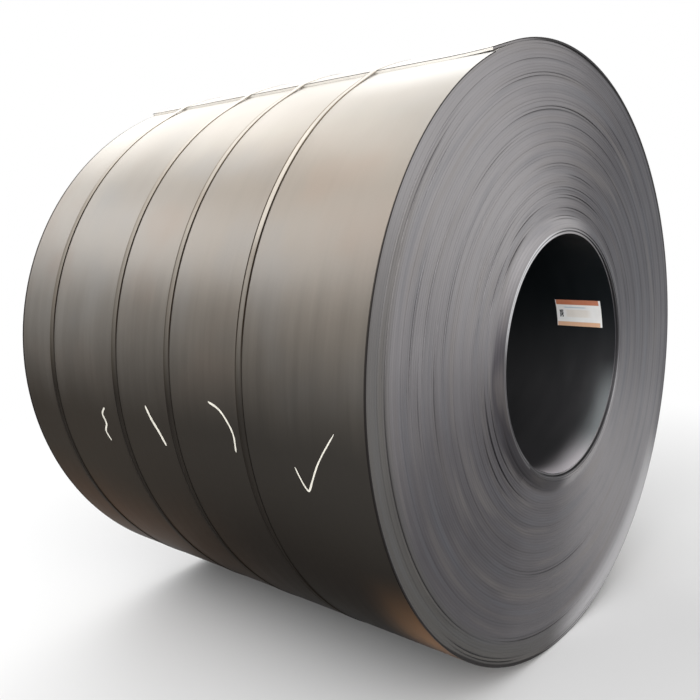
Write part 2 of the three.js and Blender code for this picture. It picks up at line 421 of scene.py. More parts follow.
def strip_edge():
    """The strip's cut edge, as the two ends show it, with painted sheen, highlights and shade."""
    finish = Finish("strip_edge")
    r = finish.radius
    wraps = finish.streaks(r * 125, 1.2, 0.55, 3.0, 0.6)
    fine = finish.streaks(r * 125, 2, 2.6)
    cloud = finish.cloud(3.0)
    tint = finish.streaks(r * 30, 1.5)
    sheen = finish.angle_from(SHEEN_ANGLE)
    right = finish.toward(*RIGHT)
    low_right = finish.toward(*LOW_RIGHT) * r.step(*LOW_RIGHT_RIM)
    inside = r - BORE_RADIUS - PITCH * finish.turns_from(HEAD_ANGLE)
    lip = inside.step(8.5 * PITCH, 5.0 * PITCH)

    # Painted light and shade: a sheen about 133° and the opposite way, a highlight low on the
    # right rim, and shade on the right and about 46° and 212°.
    light = 0.65 * sheen ** 4 + 0.15 * sheen.step(0.0, 1.0) + 0.7 * low_right
    lip_light = 0.55 * (lip * finish.patches(LIP_LIGHTS))
    drawn = 1 - 0.5 * finish.toward(*DRAWN_SMOOTH)
    grain = drawn * (0.26 * (wraps - 0.5) + 0.10 * (fine - 0.5)) + 0.3 * (cloud - 0.5)
    right_rim = finish.toward(*RIGHT_RIM) * r.step(0.89, 0.95)
    shade = 0.1 * right + 0.2 * right_rim + finish.patches(END_SHADES)
    tone = (light + lip_light + grain - shade).step(-0.3, 1.0)
    steel = finish.blend(tone, EDGE_DARK, EDGE_STEEL)
    warmed = finish.blend(tint.step(0.5, 0.75) * 0.3, steel, EDGE_WARM)
    outer = r.step(*OLIVE_RIM) * finish.toward(*OLIVE)
    olive = finish.blend(outer * 0.6, warmed, EDGE_OLIVE)
    cooled = finish.blend(tint.step(0.5, 0.25) * 0.3 + 0.2 * right, olive, EDGE_COOL)
    # Painted shade in the lip's valley at the lower left, and a painted highlight low on the
    # right.
    hollow = finish.blend(lip * finish.toward(*HOLLOW) * 0.5, cooled, SHADOW)
    painted_low_right_highlight = finish.blend(low_right * 0.4, hollow, LIP_HIGHLIGHT)

    # The outermost wrap's corner is painted with a dark rim of shade, which follows the tail
    # where it lifts.
    rim_width = OUTER_RIM * (1 + finish.patches(RIM_WIDER))
    unlifted = r - (TAIL_SPRING + TAIL_LIFT) * finish.noted("sprung")
    wrap_top = OUTER_RADIUS - PITCH * (1 - finish.turns_from(TAIL_ANGLE))
    rim = ((unlifted - wrap_top) / rim_width).step(-1.0, -0.6)
    rimmed = finish.blend(rim * 0.95, painted_low_right_highlight, SHADOW)

    # The lip's crest gets a painted highlight, faint all round and strong toward the upper left,
    # and painted shadow darkens the gap round the innermost wrap.
    crest = inside.between(0.1 * PITCH, 0.4 * PITCH, 2.0 * PITCH, 2.6 * PITCH)
    lit = 0.1 + 0.75 * finish.toward(*CREST_LIT)
    painted_highlight = finish.blend(crest * lit, rimmed, LIP_HIGHLIGHT)
    gap = (inside.between(0.8 * PITCH, 0.9 * PITCH, 1.1 * PITCH, 1.25 * PITCH)
           * (0.2 + 0.6 * finish.toward(*GAP_OPEN)))
    gapped = finish.blend(gap * 0.95, painted_highlight, GAP_SHADOW)
    # Painted shade in the grooves and where wraps step back, darker the deeper they are.
    painted_groove_shade = finish.noted("depth").step(0.0, 0.32) * 0.84
    return finish.surface(
        Base_Color=finish.blend(painted_groove_shade, gapped, GROOVE_SHADE),
        Metallic=0.85,
        Roughness=0.42 + 0.12 * wraps - 0.12 * crest,
        Normal=finish.bump(wraps * 0.5 + fine * 0.5, 0.2 * MM),
    )


BORE_SCALE_SHADED = ((0.006, 0.009, 0.011), (0.012, 0.016, 0.019))
BORE_BELOW = (0.070, 0.067, 0.070)
BORE_SHEEN = (0.40, 0.43, 0.44)
BORE_RIM_LIGHT = (0.65, 0.61, 0.64)
BELOW, SHEEN_RIGHT, RIM_LIGHT_BELOW = (295, -0.1, 0.95), (307, 0.70, 1.0), (252, 0.5, 0.9)
NEAR_RIM = (0.63, 0.778)


def bore_wall():
    """The strip's face in the bore: dark scale painted darker as shade, lighter toward the
    bottom, with a painted sheen on the right and a painted highlight low by the rim.
    """
    finish = Finish("bore_wall")
    streaks = finish.streaks(finish.x * 20, 2, detail=3.0)
    # Painted shade: the wall is nearly black, lighter toward the bottom.
    upper = finish.blend(streaks, *BORE_SCALE_SHADED)
    below = finish.toward(*BELOW)
    wall = finish.blend(below * (0.5 + 0.3 * streaks), upper, BORE_BELOW)
    # A painted sheen on the right near the rim, and a painted highlight low down by the rim.
    near_rim = (finish.x + 0.02 * (streaks - 0.5)).step(*NEAR_RIM)
    right = finish.toward(*SHEEN_RIGHT) * near_rim ** 3
    painted_sheen_right = finish.blend(right * 0.8, wall, BORE_SHEEN)
    painted_rim_light = near_rim * near_rim * finish.toward(*RIM_LIGHT_BELOW)
    return finish.surface(
        Base_Color=finish.blend(painted_rim_light, painted_sheen_right, BORE_RIM_LIGHT),
        Metallic=0.6 - 0.5 * painted_rim_light,
        Roughness=0.42 + 0.15 * streaks,
        Normal=finish.bump(streaks, 0.4 * MM),
    )


SHEARED_STEEL = ((0.82, 0.79, 0.74), (0.70, 0.67, 0.62))
SEAL_STEEL = ((0.09, 0.085, 0.08), (0.20, 0.19, 0.175))


def clouded_steel(name, colours, scale, detail, metallic, roughness, relief):
    """Bare steel that has dulled unevenly, from one colour to another."""
    finish = Finish(name)
    cloud = finish.cloud(scale, detail)
    return finish.surface(
        Base_Color=finish.blend(cloud, *colours),
        Metallic=metallic,
        Roughness=roughness + 0.2 * cloud,
        Normal=finish.bump(cloud, relief),
    )


STRAP_WIDTH = 25 * MM
STRAP_THICKNESS = 1 * MM
STRAP_LINE = 4.2 * MM        # how wide the painted shade line along each edge is
STRAP_DARK = (0.032, 0.029, 0.026)
STRAP_PALE = (0.240, 0.218, 0.192)
STRAP_HIGHLIGHT = (0.42, 0.385, 0.34)
STRAP_RUST = (0.16, 0.10, 0.06)
STRAP_LINES = ((0.022, 0.015, 0.010), (0.27, 0.215, 0.15))
STRAP_GLOSS = (0.35, 0.33, 0.30)
STRAP_PAINTED_LIGHT_UP = (-0.12, 0.33)
STRAP_FRONT = (147, 0.97, 0.993)
LINE_LOST, LINE_LOST_UP = (197, 0.90, 0.975), (0.82, 0.92)
LINE_PALE_UP = (0.40, 0.93)
# Of each strap, from the near end: how dark the painted shade line is along its far edge, and how
# bright the painted highlight on its middle is where it faces the front.
STRAP_SHADE_AND_HIGHLIGHT = [(0.95, 0.85), (0.55, 0.30), (0.15, 0.15), (0.05, 0.05)]


def strap_steel(name, middle, far_line, bright):
    """Flat strap with painted shade along its edges, painted light on top and a painted highlight
    at the front, about the place of its middle along the axis.
    """
    finish = Finish(name)
    sin = finish.sin
    streaks = finish.streaks(finish.x * 300, 3)
    cloud = finish.cloud(6.0, 3.0)
    # Painted light: paler toward the top and darker below, as light falls on the strap.
    painted_light_above = sin.step(*STRAP_PAINTED_LIGHT_UP)
    tone = finish.blend(painted_light_above * (0.7 + 0.6 * streaks), STRAP_DARK, STRAP_PALE)
    painted_highlight = finish.blend(finish.toward(*STRAP_FRONT) * bright, tone, STRAP_HIGHLIGHT)
    rusty = finish.blend(cloud.step(0.5, 0.8) * painted_light_above * 0.2, painted_highlight, STRAP_RUST)
    dust_and_sheen = (sin - 0.03 * finish.x.step(-0.5, 0.1)).step(*DUST_AND_SHEEN_UP)
    dust_sheen_and_highlight = finish.blend(dust_and_sheen, rusty, DUST_AND_SHEEN)

    # Painted shade lines along the edges, weaker about 197° and on top, where they turn pale
    # brown.
    side = finish.x - (middle - AXIS.x)
    low, high = STRAP_WIDTH / 2 - 1.3 * STRAP_LINE, STRAP_WIDTH / 2 - 0.8 * STRAP_LINE
    both_lines = side.step(low, high) + side.step(-low, -high) * far_line
    kept = (1 - 0.75 * finish.toward(*LINE_LOST)) * (1 - 0.8 * sin.step(*LINE_LOST_UP))
    line = both_lines * kept
    line_colour = finish.blend(sin.step(*LINE_PALE_UP), *STRAP_LINES)
    return finish.surface(
        Base_Color=finish.blend(line, dust_sheen_and_highlight, line_colour),
        Metallic=0.9 - 0.5 * dust_and_sheen,
        Roughness=0.38 + 0.1 * cloud + 0.2 * line,
        Specular_Tint=STRAP_GLOSS,
        Normal=finish.bump(streaks, 0.1 * MM),
    )


# ---- Modelling ----------------------------------------------------------------------------


def pick(piece):
    """Selects one piece alone and makes it the active one."""
    bpy.ops.object.select_all(action="DESELECT")
    piece.select_set(True)
    bpy.context.view_layer.objects.active = piece


def edit(piece, select="SELECT", mode="VERT"):
    """Opens a piece for editing with all of it selected, or none of it."""
    pick(piece)
    bpy.ops.object.mode_set(mode="EDIT")
    bpy.ops.mesh.select_mode(type=mode)
    bpy.ops.mesh.select_all(action=select)


def done():
    bpy.ops.object.mode_set(mode="OBJECT")


def named(name):
    """Names the primitive that was just added, and its mesh."""
    piece = bpy.context.active_object
    piece.name = piece.data.name = name
    return piece


def put(piece, points):
    """Places a mesh's points, given as an array of their coordinates."""
    piece.matrix_world.identity()
    piece.data.vertices.foreach_set("co", np.asarray(points, dtype=np.float32).ravel())
    piece.data.update()


def points_of(piece):
    points = np.empty(len(piece.data.vertices) * 3, dtype=np.float32)
    piece.data.vertices.foreach_get("co", points)
    return points.reshape(-1, 3)


def note(piece, name, values):
    """Keeps a number with each point of a mesh."""
    kept = piece.data.attributes.new(name, "FLOAT", "POINT")
    kept.data.foreach_set("value", np.asarray(values, dtype=np.float32))


def noted(piece, name):
    values = np.empty(len(piece.data.vertices), dtype=np.float32)
    piece.data.attributes[name].data.foreach_get("value", values)
    return values


def over_faces(piece, values):
    """The lowest and the highest of the points' values round each face."""
    corners = np.empty(len(piece.data.loops), dtype=np.int32)
    piece.data.loops.foreach_get("vertex_index", corners)
    starts = np.empty(len(piece.data.polygons), dtype=np.int32)
    piece.data.polygons.foreach_get("loop_start", starts)
    values = values[corners]
    return np.minimum.reduceat(values, starts), np.maximum.reduceat(values, starts)


def face_vectors(piece, name):
    """One vector of each face of a piece, such as its centre or its normal, as an array."""
    vectors = np.empty(len(piece.data.polygons) * 3)
    piece.data.polygons.foreach_get(name, vectors)
    return vectors.reshape(-1, 3)


def edit_faces(piece, chosen):
    """Opens a piece for editing with only the chosen faces selected."""
    edit(piece, "DESELECT", "FACE")
    done()
    piece.data.polygons.foreach_set("select", chosen)
    bpy.ops.object.mode_set(mode="EDIT")


def modified(piece, kind, **settings):
    """Adds a modifier to a piece and applies it."""
    modifier = piece.modifiers.new(kind.lower(), kind)
    for name, value in settings.items():
        setattr(modifier, name, value)
    pick(piece)
    bpy.ops.object.modifier_apply(modifier=modifier.name)


def smoothed(piece, degrees=40):
    """Shades a piece smooth, but for edges sharper than an angle."""
    pick(piece)
    bpy.ops.object.shade_smooth_by_angle(angle=math.radians(degrees))


def finished(piece, *finishes):
    """Gives a piece its finishes, the first for all faces that are not told otherwise."""
    piece.data.materials.clear()
    for finish in finishes:
        piece.data.materials.append(finish.material)


def round_axis(x, radius, angle):
    """Points at a place along the axis, a radius and an angle in radians, as an array."""
    y = AXIS.y + radius * np.cos(angle)
    z = AXIS.z + radius * np.sin(angle)
    return np.stack(np.broadcast_arrays(x, y, z), axis=-1)


def face_outward(piece):
    """Turns an open band so that its faces look away from the coil's axis."""
    edit(piece)
    bpy.ops.mesh.normals_make_consistent(inside=False)
    done()
    face = piece.data.polygons[0]
    away = face.center - AXIS
    away.x = 0
    if face.normal.dot(away) < 0:
        edit(piece)
        bpy.ops.mesh.flip_normals()
        done()


# ---- Wound strip --------------------------------------------------------------------------

COLUMNS = 180                # of the mesh to a turn
SAME_PLACE = 0.01 * MM       # points that lie closer are one
NEAR_MARGIN = 0.1 * MM       # how far inside the coil's box its near end is kept
FAR_MARGIN = 0.05 * MM       # and its far end
EDGE_ROUND = 0.16            # how much of the strip's thickness its rounded corner takes
EDGE_GROOVE = 0.28 * MM      # and how deep the groove between two wraps is
GROOVE_DARKEST = 8 * MM      # how deep a groove is that gets the darkest painted shade
LIP_CREST = 3 * MM           # how far the lip's innermost wraps roll back from its crest
LIP_GAP = 1.6 * MM           # how much deeper it is round the innermost wrap, which stands loose
# Turns from the head between which the edge changes its place.
LIP_FALLS = (3.1, 8.5)
CREST_ROLLS = (1.1, 2.8)
HEAD_STEPS = (0.9, 1.1)
HEAD_TRIM_ENDS = (0, 0.07)
WANDER_STARTS = (2, 8)
# The innermost wrap stands less far back along a part of its turn: by which share of the
# setback, and between which turns that starts and ends.
HEAD_PROUD = 0.6
HEAD_PROUD_STARTS = (0.4, 0.6)
HEAD_PROUD_ENDS = (0.8, 1.0)
# The edge's waves, as the strip was wound: how far in mm, radians a turn, and the first radian.
WANDER = [(0.6, 0.71, 0.5), (0.25, 1.93, 1.0)]
RIPPLE = [
    (0.10, 0.37 * FULL_CIRCLE, 0), (0.07, 1.43 * FULL_CIRCLE, 2),
    (0.05, 3.61 * FULL_CIRCLE, 1), (0.03, 7.3 * FULL_CIRCLE, 0),
]
RIPPLE_ANGLE = 130           # where round the coil the ripple is strongest, in degrees
SUNKEN_EASE = 0.14           # the most of a turn over which a wrap eases back or out

# Wraps that sit back along part of a turn: how far out as a share of the outer radius, from
# which angle to which, how far back in mm, and how many wraps.
SUNKEN_WRAPS = [
    (0.9875, 58, 119, 2.2, 1), (0.983, 245, 305, 1.3, 1), (0.972, 218, 262, 3.0, 1),
    (0.948, 70, 130, 1.6, 1), (0.941, 124, 172, 1.9, 1), (0.926, 146, 262, 1.4, 1),
    (0.912, 226, 290, 2.0, 1), (0.907, 126, 158, 1.5, 1), (0.891, 68, 130, 1.6, 1),
    (0.848, 50, 74, 0.8, 1), (0.842, 146, 192, 1.9, 1), (0.834, 78, 122, 0.8, 1),
    (0.808, 166, 200, 1.5, 1), (0.793, 48, 126, 2.2, 1), (0.786, 140, 188, 1.4, 1),
    (0.747, 48, 112, 1.0, 1), (0.746, 104, 158, 1.3, 1), (0.740, 164, 200, 0.9, 1),
    (0.714, 226, 308, 1.7, 1), (0.707, 46, 114, 1.4, 1), (0.706, 138, 190, 1.5, 1),
    (0.618, 66, 122, 1.7, 1), (0.616, 118, 152, 1.5, 1), (0.583, 62, 100, 1.7, 1),
    (0.585, 126, 170, 1.2, 1), (0.545, 52, 112, 1.5, 1), (0.552, 106, 188, 1.9, 1),
    (0.542, 186, 236, 2.2, 1), (0.519, 54, 106, 2.2, 1), (0.516, 98, 152, 1.4, 1),
    (0.508, 130, 170, 1.8, 1), (0.507, 172, 250, 2.4, 1), (0.482, 58, 112, 1.8, 1),
    (0.476, 110, 162, 2.9, 1), (0.478, 168, 246, 2.2, 1), (0.467, 20, 70, 1.0, 2),
    (0.458, 74, 112, 1.6, 1), (0.449, 190, 262, 1.7, 1),
]


def smooth_rise(value, low, high):
    share = np.clip((value - low) / (high - low), 0, 1)
    return share * share * (3 - 2 * share)


def waves(turn, kinds):
    return sum(height * np.sin(rate * turn + first) for height, rate, first in kinds)


def turn_at(share, degrees):
    """The turn, counted from the head, of the wrap at a share of the outer radius."""
    part = ((degrees - HEAD_ANGLE) / 360) % 1
    whole = round((share * OUTER_RADIUS - BORE_RADIUS) / PITCH - 0.5 - part)
    return whole + part


def edge_place(turn, across=0.5):
    """How far the strip's edge stands out toward the near end, at each turn from the head and
    at a share of the way across its thickness."""
    phase = math.radians(HEAD_ANGLE - RIPPLE_ANGLE)
    rippled = 0.60 + 0.40 * np.cos(FULL_CIRCLE * turn + phase)
    strayed = waves(turn, WANDER) * (0.4 + 0.6 * rippled) + rippled * waves(turn, RIPPLE)
    place = strayed * MM * smooth_rise(turn, *WANDER_STARTS)
    cone = (LIP_HEIGHT - NEAR_MARGIN) * (1 - smooth_rise(turn + across, *LIP_FALLS))
    off_head = smooth_rise(turn, *HEAD_STEPS)
    crest = LIP_CREST * off_head * (1 - smooth_rise(turn, *CREST_ROLLS))
    proud = smooth_rise(turn, *HEAD_PROUD_STARTS) * (1 - smooth_rise(turn, *HEAD_PROUD_ENDS))
    set_back = HEAD_SETBACK * (1 - off_head) * (1 - HEAD_PROUD * proud)
    set_back = set_back + HEAD_TRIM * (1 - smooth_rise(turn, *HEAD_TRIM_ENDS)) ** 2
    place = place + cone - crest - set_back
    for share, start, stop, depth, wraps in SUNKEN_WRAPS:
        for wrap in range(wraps):
            first = turn_at(share, start) + wrap
            last = first + (stop - start) / 360
            ease = min(SUNKEN_EASE, (last - first) / 2.2)
            begun = smooth_rise(turn, first, first + ease)
            place = place - depth * MM * begun * (1 - smooth_rise(turn, last - ease, last))
    return place


def before_tip(turn):
    """How much of the strip is still to come at each turn, up to the tail's tip."""
    return (TURNS - turn) * AROUND


def tail_sprung(turn):
    """How far the tail has sprung off at each turn, as a share."""
    return np.clip(1 - before_tip(turn) / TAIL_SPRING_LENGTH, 0, 1) ** 2


def wound_strip():
    """The strip as it was wound: its near edge all round, drawn out to its width."""
    columns = round(TURNS * COLUMNS)
    bpy.ops.mesh.primitive_grid_add(x_subdivisions=columns, y_subdivisions=3)
    coil = named("wound_coil")

    column = np.arange(columns + 1)
    boundary = np.arange(columns + 1 + COLUMNS)
    turn = column / COLUMNS
    edges = [edge_place(turn, across) for across in (0, EDGE_ROUND, 1 - EDGE_ROUND, 1)]
    groove = np.full(len(boundary), np.inf)
    groove[: columns + 1] = edges[0]
    groove[COLUMNS:] = np.minimum(groove[COLUMNS:], edges[3])
    groove -= EDGE_GROOVE + LIP_GAP * ((boundary >= COLUMNS) & (boundary < 2 * COLUMNS))

    sprung = tail_sprung(turn)
    trim = TAIL_TRIM * np.clip(1 - before_tip(turn) / TAIL_TRIM_LENGTH, 0, 1)
    radius = BORE_RADIUS + boundary * PITCH / COLUMNS
    angle = math.radians(HEAD_ANGLE) + turn * FULL_CIRCLE
    inner, outer = radius[: columns + 1], radius[COLUMNS:]
    rows = [
        (groove[: columns + 1], inner),
        (edges[1], inner + EDGE_ROUND * PITCH),
        (edges[2], inner + (1 - EDGE_ROUND) * PITCH),
        (groove[COLUMNS:], outer),
    ]
    places = [round_axis(NEAR_END + x - trim, r + TAIL_SPRING * sprung, angle) for x, r in rows]
    put(coil, np.concatenate(places))
    note(coil, "sprung", np.tile(sprung, 4))
    inner_depth = edges[0] - groove[: columns + 1]
    outer_depth = 1.3 * (edges[3] - groove[COLUMNS:])  # walls facing outward get more painted shade
    one_turn = np.zeros(COLUMNS)
    deepest = np.maximum(np.append(inner_depth, one_turn), np.append(one_turn, outer_depth))
    depths = [deepest[: columns + 1], inner_depth / 2, outer_depth / 2, deepest[COLUMNS:]]
    note(coil, "depth", np.clip(np.concatenate(depths) / GROOVE_DARKEST, 0, 1))

    edit(coil, mode="EDGE")
    bpy.ops.mesh.remove_doubles(threshold=SAME_PLACE)
    bpy.ops.mesh.select_all(action="DESELECT")
    bpy.ops.mesh.select_non_manifold(
        use_wire=False, use_multi_face=False, use_non_contiguous=False, use_verts=False
    )
    bpy.ops.mesh.extrude_region_move(TRANSFORM_OT_translate={"value": (-STRIP_WIDTH, 0, 0)})
    done()
    edit_faces(coil, face_spans(coil) < STRIP_WIDTH / 2)
    bpy.ops.mesh.duplicate_move(TRANSFORM_OT_translate={"value": (-STRIP_WIDTH, 0, 0)})
    bpy.ops.mesh.select_all(action="SELECT")
    bpy.ops.mesh.remove_doubles(threshold=SAME_PLACE)
    bpy.ops.mesh.normals_make_consistent(inside=False)
    done()
    points = points_of(coil)
    points[:, 0] = np.maximum(points[:, 0], COIL_LOW.x + FAR_MARGIN)
    put(coil, points)
    finish_strip(coil)
    lift_tail(coil)
    smoothed(coil, 50)
    return coil


def face_spans(piece):
    """How far each face of a piece reaches along the coil's axis."""
    low, high = over_faces(piece, points_of(piece)[:, 0])
    return high - low


def finish_strip(coil):
    """Gives the strip's edges, its two faces and its sheared ends their finishes."""
    sheared = clouded_steel("sheared_end", SHEARED_STEEL, 90.0, 3.0, 0.1, 0.5, 0.4 * MM)
    finished(coil, strip_edge(), mill_scale(), bore_wall(), sheared)
    edge, outside, bore, end = range(4)
    away = face_vectors(coil, "center") - np.array(AXIS)
    away[:, 0] = 0
    radius = np.linalg.norm(away, axis=1)
    facing = np.einsum("ij,ij->i", face_vectors(coil, "normal"), away) / radius
    is_end = np.abs(facing) < 0.5
    is_outer = radius > (BORE_RADIUS + OUTER_RADIUS) / 2
    is_tip_corner = radius > OUTER_RADIUS + TAIL_SPRING - EDGE_ROUND * PITCH
    on_outside = np.where(is_end, np.where(is_tip_corner, edge, end), outside)
    in_bore = np.where(is_end, edge, bore)
    slots = np.where(is_outer, on_outside, in_bore)
    slots[face_spans(coil) < STRIP_WIDTH / 2] = edge
    coil.data.polygons.foreach_set("material_index", slots)
    coil.data.update()


LIFT_CUTS = (1.0, 0.75, 0.5, 0.25)  # where the tail is cut to bend, as shares of that length
CUT_MARGIN = 10 * MM         # faces that end closer to a cut are left whole


def lift_tail(coil):
    """Bends up the tail's free corner, between the near end and the first strap."""
    for share in LIFT_CUTS:
        place = NEAR_END - share * TAIL_LIFT_LENGTH
        low, high = over_faces(coil, points_of(coil)[:, 0])
        is_tail = over_faces(coil, noted(coil, "sprung"))[1] > 0
        edit_faces(coil, is_tail & (low < place - CUT_MARGIN) & (high > place + CUT_MARGIN))
        bpy.ops.mesh.bisect(plane_co=(place, 0, 0), plane_no=(1, 0, 0))
        done()
    points = points_of(coil)
    away = points - np.array(AXIS, dtype=np.float32)
    away[:, 0] = 0
    away /= np.linalg.norm(away, axis=1)[:, None]
    share = np.clip((points[:, 0] - NEAR_END) / TAIL_LIFT_LENGTH + 1, 0, 1)
    points += away * (TAIL_LIFT * noted(coil, "sprung") * share**2)[:, None]
    put(coil, points)


coil = wound_strip()
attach(coil, "root")
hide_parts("coil")

# ---- Straps -------------------------------------------------------------------------------

STRAP_COUNT = 4
GAP = 0.3 * MM               # between the coil and what lies on it, and from strap to seal
STRAP_ROUND = 0.25 * MM      # of a strap's corners


def outline():
    """The coil's outline across the axis, from just behind the tail's tip once round to it."""
    turn = TURNS - 1 + np.arange(COLUMNS + 1) / COLUMNS
    angle = math.radians(HEAD_ANGLE) + turn * FULL_CIRCLE
    radius = BORE_RADIUS + (turn + 1) * PITCH + TAIL_SPRING * tail_sprung(turn)
    return radius * np.cos(angle), radius * np.sin(angle)


def taut_path():
    """The path of a band pulled tight round the coil, as radius and angle of its corners."""
    y, z = outline()
    corners = [(y[i], z[i]) for i in convex_hull_2d([Vector(p) for p in zip(y, z)])]
    radii = [math.hypot(*corner) + GAP for corner in corners]
    angles = [math.atan2(corner[1], corner[0]) for corner in corners]
    order = np.argsort(angles)
    return np.array(radii)[order], np.array(angles)[order]


def strap(index):
    low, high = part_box(f"strap_{index}")
    radii, angles = taut_path()
    bpy.ops.mesh.primitive_circle_add(vertices=len(radii), radius=OUTER_RADIUS)
    piece = named(f"steel_strap_{index}")
    put(piece, round_axis(low.x, radii, angles))
    edit(piece)
    bpy.ops.mesh.extrude_region_move(TRANSFORM_OT_translate={"value": (high.x - low.x, 0, 0)})
    done()
    face_outward(piece)
    modified(piece, "SOLIDIFY", thickness=STRAP_THICKNESS, offset=1.0, use_even_offset=True)
    modified(piece, "BEVEL", width=STRAP_ROUND, segments=2, limit_method="ANGLE")
    smoothed(piece)
    middle = (low.x + high.x) / 2
    finished(piece, strap_steel(f"strap_steel_{index}", middle, *STRAP_SHADE_AND_HIGHLIGHT[index - 1]))
    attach(piece, "root")
    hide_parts(f"strap_{index}")


for number in range(1, STRAP_COUNT + 1):
    strap(number)

# ---- Seals --------------------------------------------------------------------------------

SEAL_LENGTH = 50 * MM
SEAL_THICKNESS = 0.9 * MM
SEAL_SECTION = [             # across the strap and out from its face, in mm, half of it
    (0.0, 0.35), (6.0, 0.35), (11.5, 0.35), (12.6, 0.25), (12.85, -0.25), (12.85, -1.0),
]
SEAL_NOTCHES = (-14, 0, 14)  # middles of the notches in its sides, along it, in mm
NOTCH_HALF = 1.2             # half of a notch's length, in mm
NOTCH_TOP = 0.2 * MM         # notches reach up to this far out from the seal's middle face
SEAL_STATIONS = 25           # rows of points along a seal
SEAL_ROUND = 0.2 * MM        # of a seal's corners


def seal(index, finish):
    low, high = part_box(f"seal_{index}")
    middle = (low + high) / 2
    aim = math.atan2(middle.z - AXIS.z, middle.y - AXIS.y)
    half = [(-u, v) for u, v in reversed(SEAL_SECTION[1:])]
    section = np.array(half + SEAL_SECTION) * MM
    along = np.linspace(-SEAL_LENGTH / 2, SEAL_LENGTH / 2, SEAL_STATIONS)
    bpy.ops.mesh.primitive_grid_add(
        x_subdivisions=len(section) - 1, y_subdivisions=SEAL_STATIONS - 1
    )
    piece = named(f"crimped_seal_{index}")
    base = wound_radius(math.degrees(aim)) + GAP + STRAP_THICKNESS
    across, out = middle.x + section[:, 0], base + section[:, 1]
    put(piece, np.concatenate([round_axis(across, out, aim + w / base) for w in along]))
    centres = face_vectors(piece, "center") - np.array(AXIS)
    depth = np.hypot(centres[:, 1], centres[:, 2]) - base
    place = (np.arctan2(centres[:, 2], centres[:, 1]) - aim) * base / MM
    to_notch = np.abs(place[:, None] - np.array(SEAL_NOTCHES)).min(axis=1)
    edit_faces(piece, (to_notch < NOTCH_HALF) & (depth < NOTCH_TOP))
    bpy.ops.mesh.delete(type="FACE")
    done()
    face_outward(piece)
    modified(piece, "SOLIDIFY", thickness=SEAL_THICKNESS, offset=1.0)
    modified(piece, "BEVEL", width=SEAL_ROUND, segments=2, limit_method="ANGLE")
    smoothed(piece)
    finished(piece, finish)
    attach(piece, "root")
    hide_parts(f"seal_{index}")


seal_finish = clouded_steel("seal_steel", SEAL_STEEL, 30.0, 4.0, 0.85, 0.35, 0.2 * MM)
for number in range(1, STRAP_COUNT + 1):
    seal(number, seal_finish)

# ---- Label --------------------------------------------------------------------------------

LABEL_ANGLE = 15.5           # of its middle, in degrees
LABEL_HEIGHT = 103 * MM
LABEL_THICKNESS = 0.3 * MM
LABEL_LOW, LABEL_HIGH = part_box("bore_label")
LABEL_LENGTH = LABEL_HIGH.x - LABEL_LOW.x
LABEL_CURL = 1.6 * MM        # how far its corners stand off
CURL_START = 1.45            # the further the shares of the two half sides add up past this
# What is printed on it: how far along it and how far up from its middle each thing starts, is
# full, begins to fade and is gone, in mm.
LABEL_LINE = ((28, 40, 112, 128), (18, 19.5, 22.5, 24))
LABEL_FIELD = ((34, 46, 120, 150), (-20, -14, 10, 14))
LABEL_PATCH = ((12, 14, 27, 29), (-18, -16, 10, 12))
# How far in from a side of the label its bands start and are full, or end and are gone, in mm.
BAND_STARTS = (1.5, 3.5)
BAND_ENDS = (6, 9)
TOP_BAND = (21, 18.5)
FOOT_BAND = (17.5, 15)
PAPER = ((0.95, 0.945, 0.93), (0.82, 0.81, 0.79))
ORANGE = (0.56, 0.150, 0.045)
ORANGE_PALE = (0.78, 0.44, 0.25)
INK_GREY = (0.42, 0.55, 0.66)
FIELD_TINT = (0.78, 0.66, 0.52)
INK = (0.012, 0.013, 0.018)


def label_paper():
    """White paper with an orange band above and a paler one below, and a small dark patch."""
    finish = Finish("label_paper")
    along = (finish.x + (AXIS.x - LABEL_LOW.x)) / MM
    turned = finish.turns_from(LABEL_ANGLE - 180) - 0.5
    up = turned * (FULL_CIRCLE * BORE_RADIUS / MM)
    half = LABEL_HEIGHT / 2 / MM
    length = LABEL_LENGTH / MM

    def printed(reach):
        return along.between(*reach[0]) * up.between(*reach[1])

    cloud = finish.cloud(25.0, 4.0)
    paper = finish.blend(cloud.step(0.35, 0.75) * 0.5, *PAPER)
    inside = along.step(*BAND_STARTS) * (length - along).step(*BAND_ENDS)
    top = (half - up).step(*TOP_BAND) * inside
    banded = finish.blend(top * (0.85 + 0.15 * cloud), paper, ORANGE)
    foot = (up + half).step(*FOOT_BAND) * inside
    footed = finish.blend(foot * (0.8 + 0.2 * cloud), banded, ORANGE_PALE)
    lined = finish.blend(printed(LABEL_LINE) * 0.6, footed, INK_GREY)
    tinted = finish.blend(printed(LABEL_FIELD) * 0.35, lined, FIELD_TINT)
    broken = finish.cloud(260.0).step(0.32, 0.5)
    return finish.surface(
        Base_Color=finish.blend(printed(LABEL_PATCH) * broken, tinted, INK),
        Roughness=0.55 + 0.2 * cloud,
        Normal=finish.bump(finish.cloud(18.0), 0.8 * MM),
    )


